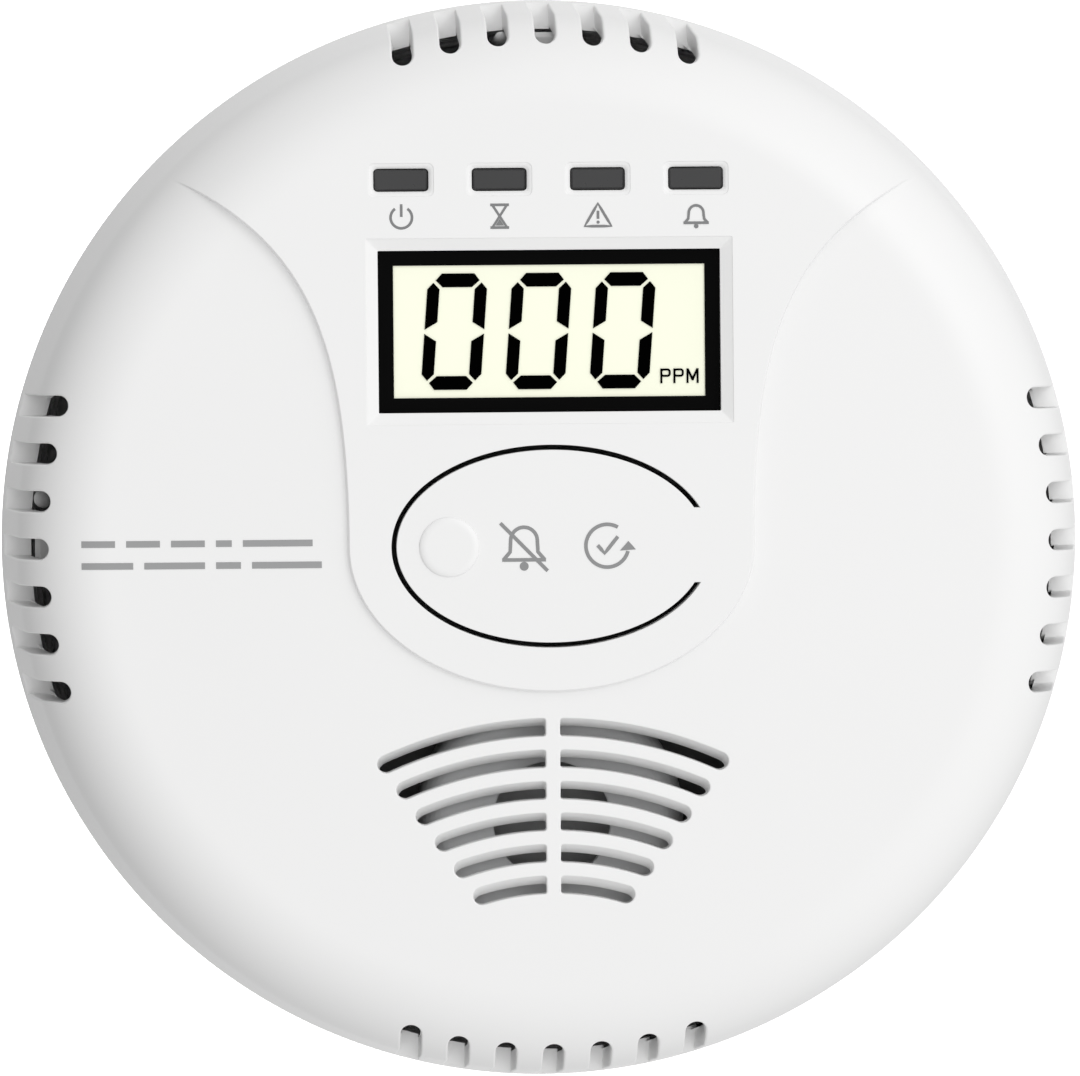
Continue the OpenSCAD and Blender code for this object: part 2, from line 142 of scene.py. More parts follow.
# The drawn skin goes on round the rim and a little way up the inside.
turn = arc((LOW[-1, 0] - RIM_ROUND, RIM_Z + RIM_ROUND), RIM_ROUND, 0, -math.pi / 2, 6)
inner_toe = INNER[-1]
SKIN = np.vstack([LOW[LOW[:, 1] > RIM_Z + RIM_ROUND + 0.05], turn, [inner_toe], [inner_toe + [0, 3]]])
SKIN_LEN = lengths(SKIN)


def flat(xy):
    """Points seen from the front, laid out on the unrolled case."""
    r = np.hypot(xy[:, 0], xy[:, 1])
    k = np.interp(r, LOW[:, 0], LOW_LEN) / np.maximum(r, 1e-9)
    return xy * k[:, None]


def panel_edge():
    """Outline of the raised panel from the left tip, under the button, to the right tip."""
    t = np.linspace(0, 1, 41)[:, None]
    p = [np.array(q, float) for q in ((19, 0), (19, 19.8), (22.6, 28.6), (35.4, 34.8))]
    side = (1 - t) ** 3 * p[0] + 3 * (1 - t) ** 2 * t * p[1] + 3 * (1 - t) * t * t * p[2] + t**3 * p[3]
    a = np.linspace(math.pi, 2 * math.pi, 80)
    low = np.column_stack([19 * np.cos(a), 13.6 * np.sin(a)])
    left = side[::-1] * [-1, 1]
    return np.vstack([left[:-1], low, side[1:]])


EDGE = panel_edge()
LEDGE_HALF = 0.11


def edge_distance(xy):
    """Signed distance to the panel's outline, positive on the panel."""
    a, b = EDGE[:-1], EDGE[1:]
    ab = b - a
    best = np.full(len(xy), 1e9)
    sign = np.ones(len(xy))
    for i in range(len(a)):
        ap = xy - a[i]
        t = np.clip(ap @ ab[i] / (ab[i] @ ab[i]), 0, 1)
        off = ap - t[:, None] * ab[i]
        d = np.hypot(off[:, 0], off[:, 1])
        cross = ab[i][0] * ap[:, 1] - ab[i][1] * ap[:, 0]
        closer = d < best
        best = np.where(closer, d, best)
        sign = np.where(closer, np.sign(cross), sign)
    return best * sign


def smooth(t):
    t = np.clip(t, 0, 1)
    return t * t * (3 - 2 * t)


def surface(uv):
    """Unrolled points to points on the case, with the raised panel and the pip."""
    s = np.hypot(uv[:, 0], uv[:, 1])
    r = np.interp(s, SKIN_LEN, SKIN[:, 0])
    z = np.interp(s, SKIN_LEN, SKIN[:, 1])
    xy = uv * (r / np.maximum(s, 1e-9))[:, None]
    near = (r < MERGE_R) & (s < RIM_LEN)
    rise = np.interp(r, HIGH[:, 0], HIGH[:, 1]) - np.interp(r, LOW[:, 0], LOW[:, 1])
    on = np.zeros(len(uv))
    if near.any():
        on[near] = smooth((edge_distance(xy[near]) + LEDGE_HALF) / (2 * LEDGE_HALF))
    z = z + on * np.where(near, np.maximum(rise, 0), 0)
    inside = np.clip((PIP_R - np.hypot(xy[:, 0] - PIP_X, xy[:, 1])) / PIP_ROUND, 0, 1)
    z = z + PIP_RISE * np.sqrt(1 - (1 - inside) ** 2) * near
    return np.column_stack([xy, z])


def normals(uv):
    e = 0.02
    du = surface(uv + [e, 0]) - surface(uv - [e, 0])
    dv = surface(uv + [0, e]) - surface(uv - [0, e])
    n = np.cross(du, dv)
    return n / np.linalg.norm(n, axis=1)[:, None]


def inside_z(r):
    """Height of the cover's inner face."""
    return np.interp(r, INNER[:, 0], INNER[:, 1])


def floor_z(r):
    """Height of the sloped floor at the outer end of a vent."""
    foot = RIM_Z + (BODY_R - VENT_OUT) / math.tan(DRAFT)
    return SILL_Z + (r - VENT_LIP) * (foot - SILL_Z) / (VENT_OUT - VENT_LIP)


# ---------------------------------------------------------------- openings


def densify(points, step, closed=True):
    pts = list(points) + ([points[0]] if closed else [])
    out = []
    for a, b in zip(pts[:-1], pts[1:]):
        n = max(1, math.ceil(np.linalg.norm(np.subtract(b, a)) / step))
        out += [np.add(a, np.subtract(b, a) * i / n) for i in range(n)]
    if not closed:
        out.append(np.array(pts[-1]))
    return np.array(out, float)


def rounded_rect(w, h, r, n=6):
    out = []
    for k, (sx, sy) in enumerate(((1, 1), (-1, 1), (-1, -1), (1, -1))):
        c = np.array([sx * (w / 2 - r), sy * (h / 2 - r)])
        a = np.linspace(k * math.pi / 2, (k + 1) * math.pi / 2, n + 1)
        out += [c + r * np.array([math.cos(t), math.sin(t)]) for t in a]
    return np.array(out)


def vent_outline(x):
    h = VENT_W / 2
    y0 = math.sqrt(VENT_IN**2 - x * x) + h
    end = [np.array([t, math.sqrt(VENT_OUT**2 - t * t)]) for t in np.linspace(x + h, x - h, 7)]
    turns = np.linspace(math.pi, 2 * math.pi, 17)
    tip = [np.array([x, y0]) + h * np.array([math.cos(a), math.sin(a)]) for a in turns]
    return np.array([*end, *tip])


def slot_outline(k, side):
    """One half of an arc slot in the grille, in polar steps about the grille's centre."""
    r, half, h = GRILLE_R - k * GRILLE_PITCH, GRILLE_HALF - k * GRILLE_STEP, GRILLE_OPEN / 2
    corner, cut = 0.25, 0.07
    end, bar, c = math.asin((half - h) / r), math.asin(GRILLE_BAR / 2 / r), corner / r
    up, left = math.pi / 2, []
    n = max(8, int((end - bar) * r / 0.5))
    outer = [(r + h, t) for t in np.linspace(bar + c, end, n)]
    cap = [(r + h * math.cos(a), end + h * math.sin(a) / r) for a in np.linspace(0, math.pi, 15)[1:-1]]
    inner = [(r - h, t) for t in np.linspace(end, bar + c, n)]
    close = [
        (r - h + cut, bar + cut / r),
        (r - h + corner, bar),
        (r + h - corner, bar),
        (r + h - cut, bar + cut / r),
    ]
    for rr, t in outer + cap + inner + close:
        left.append([rr * math.cos(up + t), rr * math.sin(up + t) + GRILLE_Y])
    pts = np.array(left)
    return pts if side < 0 else (pts * [-1, 1])[::-1]


def ellipse(a, b, t):
    return np.column_stack([a * np.cos(t), b * np.sin(t)])


def tab_band():
    """The thin slot around the press tab, open on the hinge side."""
    t_out = math.asin(HINGE_H / TAB_B)
    t_in = math.asin(HINGE_H / (TAB_B - GAP))
    outer = ellipse(TAB_A, TAB_B, np.linspace(t_out, 2 * math.pi - t_out, 150))
    inner = ellipse(TAB_A - GAP, TAB_B - GAP, np.linspace(2 * math.pi - t_in, t_in, 150))
    return np.vstack([outer, inner])


def straight_down(z):
    return lambda top, t: np.column_stack([top[:, :2], top[:, 2] + (z - top[:, 2]) * t])


def vent_wall(top, t):
    r = np.hypot(top[:, 0], top[:, 1])
    low = np.minimum(np.maximum(inside_z(r), floor_z(r)), top[:, 2] - 0.05)
    return np.column_stack([top[:, :2], top[:, 2] + (low - top[:, 2]) * t])


def louver(k):
    """Walls of an arc slot: the side further from the grille's centre slopes in."""
    r0 = GRILLE_R - k * GRILLE_PITCH - GRILLE_OPEN / 2

    def wall(top, t):
        d = top[:, :2] - [0, GRILLE_Y]
        r = np.hypot(d[:, 0], d[:, 1])
        pull = (r - r0) * LOUVER_LEAN
        s = 1 - t * np.where(r > r0, pull, 0) / r
        xy = d * s[:, None] + [0, GRILLE_Y]
        return np.column_stack([xy, top[:, 2] + (inside_z(r) - top[:, 2]) * t])

    return wall


def bevelled(x, y, w, h, bevel, drop, depth, curve):
    """A shallow mitred bevel round a rectangular opening, straight or curved, then a straight wall."""
    sx, sy = 1 - bevel / (w / 2 + bevel), 1 - bevel / (h / 2 + bevel)

    def wall(top, t):
        k = min(1.0, t * 2)
        mid = top - [x, y, 0]
        z = top[:, 2] - drop * k**curve - depth * max(0.0, t * 2 - 1)
        return np.column_stack([mid[:, 0] * (1 - k + k * sx) + x, mid[:, 1] * (1 - k + k * sy) + y, z])

    return wall


def turned(points, quarter):
    c, s = [(1, 0), (0, 1), (-1, 0), (0, -1)][quarter]
    return np.column_stack([points[:, 0] * c - points[:, 1] * s, points[:, 0] * s + points[:, 1] * c])


VENT_EDGE, GRILLE_EDGE, THIN_EDGE = 0.2, 0.14, 0.08  # edge radii of the openings
openings = []  # (outline seen from the front, edge radius, wall, steps down the wall)
for quarter in range(4):
    for i in range(VENT_COUNT):
        x = (i - (VENT_COUNT - 1) / 2) * VENT_PITCH
        openings.append((turned(vent_outline(x), quarter), VENT_EDGE, vent_wall, [0.3, 0.65, 1]))
# Each window: centre, size, bevel width and drop, wall depth, curve of the bevel, corner radius.
led = (LED_Y, LED_W, LED_H, LED_BEVEL, LED_DROP, 2.0, 2.0, 0.5)
windows = [((i - 1.5) * LED_PITCH, *led) for i in range(4)]
windows.append((0, LCD_Y, LCD_W, LCD_H, LCD_BEVEL, LCD_DROP, 2.4, 1.0, 0.12))
for x, y, w, h, bevel, drop, depth, curve, corner in windows:
    pts = rounded_rect(w + 2 * bevel, h + 2 * bevel, corner, 4) + [x, y]
    wall = bevelled(x, y, w, h, bevel, drop, depth, curve)
    openings.append((pts, THIN_EDGE, wall, [0.1, 0.2, 0.3, 0.4, 0.5, 0.5001, 1]))
for k in range(GRILLE_N):
    for side in (-1, 1):
        openings.append((slot_outline(k, side), GRILLE_EDGE, louver(k), [0.25, 0.5, 0.75, 1]))
openings.append((tab_band(), THIN_EDGE, straight_down(TAB_UNDER - 0.2), [0.5, 1]))
TAB_BAND = len(openings) - 1


# ---------------------------------------------------------------- skin


def outward(loop):
    """Unit normals that point out of an anticlockwise closed loop."""
    nxt, prv = np.roll(loop, -1, 0), np.roll(loop, 1, 0)
    a, b = nxt - loop, loop - prv
    a, b = a / np.linalg.norm(a, axis=1)[:, None], b / np.linalg.norm(b, axis=1)[:, None]
    t = a + b
    t = t / np.maximum(np.linalg.norm(t, axis=1)[:, None], 1e-9)
    return np.column_stack([t[:, 1], -t[:, 0]])


def anticlockwise(loop):
    nxt = np.roll(loop, -1, 0)
    return loop if (loop[:, 0] * nxt[:, 1] - nxt[:, 0] * loop[:, 1]).sum() > 0 else loop[::-1]


def within(points, loop):
    """Which points lie inside a closed loop, by crossings."""
    x, y = points[:, 0], points[:, 1]
    out = np.zeros(len(points), bool)
    x0, y0 = loop[:, 0], loop[:, 1]
    x1, y1 = np.roll(x0, -1), np.roll(y0, -1)
    for i in range(len(loop)):
        if y0[i] == y1[i]:
            continue
        cross = (x1[i] - x0[i]) * (y - y0[i]) / (y1[i] - y0[i]) + x0[i]
        out ^= ((y0[i] > y) != (y1[i] > y)) & (x < cross)
    return out


ROUND_STEPS = [90, 67.5, 45, 22.5, 0]  # angle of the edge rounding at each ring, in degrees


class Skin:
    """Collects rings and free points, then triangulates them once."""

    def __init__(self):
        self.uv, self.edges, self.drop, self.lean, self.toward = [], [], [], [], []

    def ring(self, pts, drop=0.0, lean=0.0, toward=None, closed=True):
        start = len(self.uv)
        n = len(pts)
        self.uv += list(pts)
        self.drop += [drop] * n
        self.lean += [lean] * n
        self.toward += list(toward if toward is not None else np.zeros((n, 2)))
        last = n if closed else n - 1
        self.edges += [(start + i, start + (i + 1) % n) for i in range(last)]
        return list(range(start, start + n))

    def points(self, pts):
        self.uv += list(pts)
        self.drop += [0.0] * len(pts)
        self.lean += [0.0] * len(pts)
        self.toward += list(np.zeros((len(pts), 2)))


skin = Skin()
holes = []
for outline, radius, wall, steps in openings:
    loop = anticlockwise(densify(flat(densify(outline, 0.4)), 0.5))
    out = outward(loop)
    rings = []
    for a in ROUND_STEPS:
        lean = math.radians(a)
        d, drop = radius * (1 - math.sin(lean)), radius * (1 - math.cos(lean))
        rings.append(skin.ring(loop + out * d, drop, lean, -out))
    holes.append({"loop": loop, "ring": rings[0], "wall": wall, "steps": steps})

# Rings that carry the ledge of the raised panel and the pip on the tab.
tangent = np.gradient(EDGE, axis=0)
tangent /= np.linalg.norm(tangent, axis=1)[:, None]
inward = np.column_stack([-tangent[:, 1], tangent[:, 0]])
for s in (-1.5, -1.0, -0.7, -0.35, 0.0, 0.35, 0.7, 1.0, 1.5):
    line = EDGE + inward * s * LEDGE_HALF
    skin.ring(flat(densify(line, 0.7, closed=False)), closed=False)
for r in (0.9, 1.6, 2.0, 2.1, 2.25, 2.4, 2.55, 2.66, 2.74, 2.78, 2.8, 2.83, 2.95, 3.2):
    t = np.linspace(0, 2 * math.pi, 64, endpoint=False)
    skin.ring(flat(np.column_stack([PIP_X + r * np.cos(t), r * np.sin(t)])))

# Free points: wide apart on the nearly flat front, close together round the shoulder.
tree = KDTree(len(skin.uv))
for i, p in enumerate(skin.uv):
    tree.insert((p[0], p[1], 0), i)
tree.balance()
FRONT_GAP, SIDE_GAP, SIDE_AROUND, RIM_GAP = 1.8, 0.75, 1.15, 0.12
SHOULDER_R, RIM_BAND, CLEAR = 41.0, 0.6, 0.3
shoulder_start = np.interp(SHOULDER_R, LOW[:, 0], LOW_LEN)
free, s = [], FRONT_GAP
while s < SKIN_LEN[-1] - 0.01:
    on_front = s < shoulder_start
    gap = FRONT_GAP if on_front else SIDE_GAP
    if s > RIM_LEN - RIM_BAND:
        gap = RIM_GAP
    around = FRONT_GAP if on_front else SIDE_AROUND
    n = max(8, int(2 * math.pi * s / around))
    t = np.linspace(0, 2 * math.pi, n, endpoint=False)
    free.append(np.column_stack([s * np.cos(t), s * np.sin(t)]))
    s += gap
free = np.vstack(free)
keep = np.array([tree.find((p[0], p[1], 0))[2] > CLEAR for p in free])
free = free[keep]
for h in holes:
    free = free[~within(free, h["loop"])]
skin.points(free)
t = np.linspace(0, 2 * math.pi, 360, endpoint=False)
skin.ring(np.column_stack([np.cos(t), np.sin(t)]) * SKIN_LEN[-1])

uv_in = np.array(skin.uv)
co2, _, tris, origin, _, _ = delaunay_2d_cdt([Vector(p) for p in uv_in], skin.edges, [], 0, 1e-5, True)
uv = np.array([[p.x, p.y] for p in co2])
first = np.array([o[0] if o else -1 for o in origin])
known = first >= 0
drop = np.where(known, np.array(skin.drop)[first], 0)
lean = np.where(known, np.array(skin.lean)[first], 0)
toward = np.where(known[:, None], np.array(skin.toward)[first], 0)
where_is = {}
for new, olds in enumerate(origin):
    for o in olds:
        where_is[o] = new

tris = np.array([t for t in tris if len(t) == 3])
middle = uv[tris].mean(1)
solid = np.ones(len(tris), bool)
for h in holes:
    lo, hi = h["loop"].min(0), h["loop"].max(0)
    near = ((middle > lo) & (middle < hi)).all(1) & solid
    idx = np.where(near)[0]
    solid[idx[within(middle[idx], h["loop"])]] = False
tris, middle = tris[solid], middle[solid]
a, b, c = uv[tris[:, 0]], uv[tris[:, 1]], uv[tris[:, 2]]
area = (b - a)[:, 0] * (c - a)[:, 1] - (b - a)[:, 1] * (c - a)[:, 0]
tris[area < 0] = tris[area < 0][:, ::-1]

base = surface(uv)
base_n = normals(uv)
# The rounding leans each normal from the face towards the opening.
ahead = surface(uv + toward * 0.05) - surface(uv)
ahead /= np.maximum(np.linalg.norm(ahead, axis=1)[:, None], 1e-9)
skin_co = base - base_n * drop[:, None]
skin_n = base_n * np.cos(lean)[:, None] + ahead * np.sin(lean)[:, None]
skin_n /= np.linalg.norm(skin_n, axis=1)[:, None]

tab_mid = ellipse(TAB_A - GAP / 2, TAB_B - GAP / 2, np.linspace(0, 2 * math.pi, 200)[:-1])
tab_loop = flat(densify(tab_mid, 0.5))
mid_x = base[tris][:, :, 0].mean(1)
on_tab = within(middle, tab_loop) & (mid_x < HINGE_X)


def inner_of(uv_points):
    """Matching points on the inner face, straight behind the front and along the side."""
    s = np.hypot(uv_points[:, 0], uv_points[:, 1])
    r = np.interp(s, SKIN_LEN, SKIN[:, 0])
    inner_len = lengths(INNER)
    s0 = np.interp(TURN_R, LOW[:, 0], LOW_LEN)
    i0 = np.interp(TURN_R, INNER[:, 0], inner_len)
    t = np.clip((s - s0) / (SKIN_LEN[-1] - s0), 0, 1)
    i = i0 + t * (inner_len[-1] - i0)
    far = s > s0
    r_in = np.where(far, np.interp(i, inner_len, INNER[:, 0]), r)
    z_in = np.where(far, np.interp(i, inner_len, INNER[:, 1]), inside_z(r))
    xy = uv_points * (r_in / np.maximum(s, 1e-9))[:, None]
    return np.column_stack([xy, z_in])


# ---------------------------------------------------------------- meshes


def to_row(p):
    """Modelling millimetres to the row frame in metres."""
    p = np.asarray(p, float)
    return np.column_stack([p[:, 0], -p[:, 2], p[:, 1]]) * MM


def make_object(name, co, faces, body, loop_normals=None, angle=35):
    me = bpy.data.meshes.new(name)
    me.from_pydata([tuple(v) for v in to_row(co)], [], [tuple(int(i) for i in f) for f in faces])
    me.update()
    me.polygons.foreach_set("use_smooth", [True] * len(me.polygons))
    me.set_sharp_from_angle(angle=math.radians(angle))
    if loop_normals is not None:
        me.normals_split_custom_set([tuple(n) for n in loop_normals])
    o = bpy.data.objects.new(name, me)
    bpy.context.scene.collection.objects.link(o)
    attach(o, body)
    return o


class Build:
    """Faces with their own points; skin points carry exact normals."""

    def __init__(self):
        self.co, self.faces, self.normal = [], [], []

    def add(self, co, faces, normal=None):
        start = len(self.co)
        self.co += list(co)
        for f in faces:
            self.faces.append([start + int(i) for i in f])
            for i in f:
                self.normal.append(normal[int(i)] if normal is not None else None)

    def object(self, name, body, angle=35):
        rows = [np.zeros(3) if n is None else np.array([n[0], -n[2], n[1]]) for n in self.normal]
        return make_object(name, np.array(self.co), self.faces, body, rows, angle)


def skin_part(build, chosen):
    used, inverse = np.unique(chosen, return_inverse=True)
    build.add(skin_co[used], inverse.reshape(chosen.shape), skin_n[used])
    return used


def strip(n, rows, closed=True):
    """Quads between rows of n points each."""
    out = []
    for k in range(rows - 1):
        for i in range(n if closed else n - 1):
            j = (i + 1) % n
            out.append([k * n + i, (k + 1) * n + i, (k + 1) * n + j, k * n + j])
    return out


cover = Build()
cover_tris = tris[~on_tab]
skin_part(cover, cover_tris)
used, inverse = np.unique(cover_tris, return_inverse=True)
cover.add(inner_of(uv[used]), inverse.reshape(cover_tris.shape)[:, ::-1])

tab = Build()
tab_tris = tris[on_tab]
skin_part(tab, tab_tris)
used, inverse = np.unique(tab_tris, return_inverse=True)
under = base[used].copy()
under[:, 2] = TAB_UNDER
tab.add(under, inverse.reshape(tab_tris.shape)[:, ::-1])

for n, h in enumerate(holes):
    ids = [where_is[i] for i in h["ring"]]
    top = skin_co[ids]
    rows = [top] + [h["wall"](top, t) for t in h["steps"]]
    if n != TAB_BAND:
        cover.add(np.vstack(rows), strip(len(top), len(rows)))
        continue
    # The tab's slot has two sides, one on each piece.
    half = np.hypot(top[:, 0] / (TAB_A - GAP / 2), top[:, 1] / (TAB_B - GAP / 2)) < 1
    for build, side in ((tab, half), (cover, ~half)):
        quads = []
        m = len(top)
        for k in range(len(rows) - 1):
            for i in range(m):
                j = (i + 1) % m
                if side[i] and side[j] or (build is cover and side[i] != side[j]):
                    quads.append([k * m + i, (k + 1) * m + i, (k + 1) * m + j, k * m + j])
        build.add(np.vstack(rows), quads)

# Floors at the outer ends of the vents, a little hollow across, with a wall down at the inner end.
FLOOR_N, FLOOR_DIP, FLOOR_PAST = 9, 0.15, 0.05
half_floor = VENT_W / 2 + FLOOR_PAST
for quarter in range(4):
    for i in range(VENT_COUNT):
        x = (i - (VENT_COUNT - 1) / 2) * VENT_PITCH
        grid = []
        for r in [VENT_LIP, *np.linspace(VENT_LIP, VENT_OUT + FLOOR_PAST, FLOOR_N)]:
            for px in np.linspace(x - half_floor, x + half_floor, FLOOR_N):
                dip = FLOOR_DIP * (1 - ((px - x) / half_floor) ** 2)
                z = floor_z(r) - dip if len(grid) >= FLOOR_N else SILL_FOOT
                grid.append([px, math.sqrt(r * r - px * px), z])
        grid = np.array(grid)
        grid[:, :2] = turned(grid[:, :2], quarter)
        cover.add(grid, [f[::-1] for f in strip(FLOOR_N, FLOOR_N + 1, closed=False)])

# Post under the pip that meets the switch.
profile = [(0.05, 30.03), (0.5, 30.1), (0.9, 30.45), (1.2, 30.9), (1.25, 32), (1.6, 32.3)]
profile.append((1.6, TAB_UNDER))
ring_n = 24
turns = [2 * math.pi * i / ring_n for i in range(ring_n)]
post = [[PIP_X + r * math.cos(a), r * math.sin(a), z] for r, z in profile for a in turns]
tab.add(np.array(post), [f[::-1] for f in strip(ring_n, len(profile))])

cover_object = cover.object("front_cover_skin", "alarm")
tab_object = tab.object("button_tab_skin", "button")
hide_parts("front_cover")
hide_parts("button_tab")


# ---------------------------------------------------------------- prints


def lay(points):
    """Points seen from the front, laid just above the moulded face."""
    p = surface(flat(np.asarray(points, float)))
    p[:, 2] += PRINT_LIFT
    return p


class Print:
    """Flat ink: bars, lines and rings that follow the face."""

    def __init__(self):
        self.co, self.faces, self.height = [], [], []
        self.at(0, 0)

    def at(self, x, y, scale=1.0):
        """Sets where the next strokes' own origin lies and how large they are drawn."""
        self.origin, self.scale = np.array([x, y], float), scale

    def put(self, points):
        """Adds a stroke's points, each stroke just above the last, and gives the first one's number."""
        start = len(self.co)
        self.co += [self.origin + self.scale * np.array(p, float) for p in points]
        self.height += [(self.height[-1] if start else 0) + STROKE_LIFT] * len(points)
        return start

    def line(self, points, width, closed=False):
        pts = densify(points, 0.5, closed)
        n = len(pts)
        if closed:
            t = np.roll(pts, -1, 0) - np.roll(pts, 1, 0)
        else:
            t = np.gradient(pts, axis=0)
        t = t / np.maximum(np.linalg.norm(t, axis=1)[:, None], 1e-9)
        side = np.column_stack([-t[:, 1], t[:, 0]]) * width / 2
        start = self.put([*(pts - side), *(pts + side)])
        for i in range(n if closed else n - 1):
            j = (i + 1) % n
            self.faces.append([start + i, start + j, start + n + j, start + n + i])

    def arc(self, centre, r, start, end, width, closed=False):
        n = max(10, int(abs(end - start) * r / 0.15))
        a = np.radians(np.linspace(start, end, n, endpoint=not closed))
        pts = np.column_stack([centre[0] + r * np.cos(a), centre[1] + r * np.sin(a)])
        self.line(pts, width, closed)

    def disc(self, centre, r, n=20):
        a = np.linspace(0, 2 * math.pi, n, endpoint=False)
        start = self.put(np.column_stack([centre[0] + r * np.cos(a), centre[1] + r * np.sin(a)]))
        self.faces.append([start + i for i in range(n)])

    def poly(self, points):
        start = self.put(points)
        self.faces.append([start + i for i in range(len(points))])

    def object(self, name, body):
        p = lay(self.co)
        p[:, 2] += self.height
        return make_object(name, p, self.faces, body)


LEGEND_Y, LEGEND_W, LEGEND_SCALE = 30.9, 0.2, 1.25

legend = Print()


def legend_at(i):
    legend.at((i - 1.5) * LED_PITCH, LEGEND_Y, LEGEND_SCALE)


# power
legend_at(0)
legend.arc((0, -0.05), 0.8, 125, 415, LEGEND_W)
legend.line([(0, 0), (0, 0.95)], LEGEND_W)
# end of life: an hourglass
legend_at(1)
legend.line([(-0.7, 0.85), (0.7, 0.85)], LEGEND_W)
legend.line([(-0.7, -0.85), (0.7, -0.85)], LEGEND_W)
legend.line([(-0.55, 0.85), (0.55, -0.85)], LEGEND_W * 0.9)
legend.line([(0.55, 0.85), (-0.55, -0.85)], LEGEND_W * 0.9)
legend.poly([(-0.32, -0.7), (0.32, -0.7), (0, -0.2)])
# fault: a triangle with a mark
legend_at(2)
legend.line([(-1.0, -0.8), (1.0, -0.8), (0, 0.9)], LEGEND_W, closed=True)
legend.line([(0, 0.35), (0, -0.25)], LEGEND_W)
legend.disc((0, -0.5), 0.12)
# alarm: a bell
legend_at(3)
legend.arc((0, 0.15), 0.55, 0, 180, LEGEND_W)
for side in (-1, 1):
    legend.line([(side * 0.55, 0.15), (side * 0.6, -0.3), (side * 0.85, -0.58)], LEGEND_W)
legend.line([(-0.95, -0.6), (0.95, -0.6)], LEGEND_W)
legend.disc((0, -0.85), 0.17)
legend_object = legend.object("light_legends", "alarm")

# Two rows of plain bars stand in for the words beside the panel.
side_print = Print()
ROW_X, ROW_H, LETTER, LETTER_GAP = -44.0, 0.62, 0.84, 0.2
ROWS = ((0.5, (4, 4, 4, 2, 8)), (-1.55, (6, 7, 3, 8)))  # height of the row, letters in each word
for y, words in ROWS:
    x = ROW_X
    for n in words:
        side_print.line([(x, y), (x + n * LETTER - LETTER_GAP, y)], ROW_H)
        x += (n + 1) * LETTER
side_object = side_print.object("side_print", "alarm")

# The tab's words become a muted bell and a circling arrow with a tick.
tab_print = Print()
TAB_LINE = 0.34
tab_print.at(-2.6, 0)
tab_print.arc((0, 0.55), 1.25, 0, 180, TAB_LINE)
for side in (-1, 1):
    tab_print.line([(side * 1.25, 0.55), (side * 1.3, -0.5), (side * 1.9, -1.2)], TAB_LINE)
tab_print.line([(-2.05, -1.25), (2.05, -1.25)], TAB_LINE)
tab_print.disc((0, -1.85), 0.42)
tab_print.line([(-2.2, 2.2), (2.2, -2.3)], TAB_LINE)
tab_print.at(5.2, 0)
CIRCLE_R, CIRCLE_END = 2.0, 345
tab_print.arc((0, 0), CIRCLE_R, 60, CIRCLE_END, TAB_LINE)
end_angle = math.radians(CIRCLE_END)
tip = CIRCLE_R * np.array([math.cos(end_angle), math.sin(end_angle)])
tab_print.poly([tip + [-0.75, 0.05], tip + [0.75, 0.15], tip + [0.05, 0.95]])
tab_print.line([(-0.9, 0.05), (-0.25, -0.7), (1.0, 0.85)], TAB_LINE)
tab_print_object = tab_print.object("tab_print", "button")


# ---------------------------------------------------------------- materials


def node(tree, kind, **values):
    n = tree.nodes.new(kind)
    for key, v in values.items():
        if key in n.inputs:
            n.inputs[key].default_value = v
        else:
            setattr(n, key, v)
    return n


ROUGH_VARY, GRAIN_DEPTH, COAT_ROUGHNESS = 0.06, 0.00002, 0.08


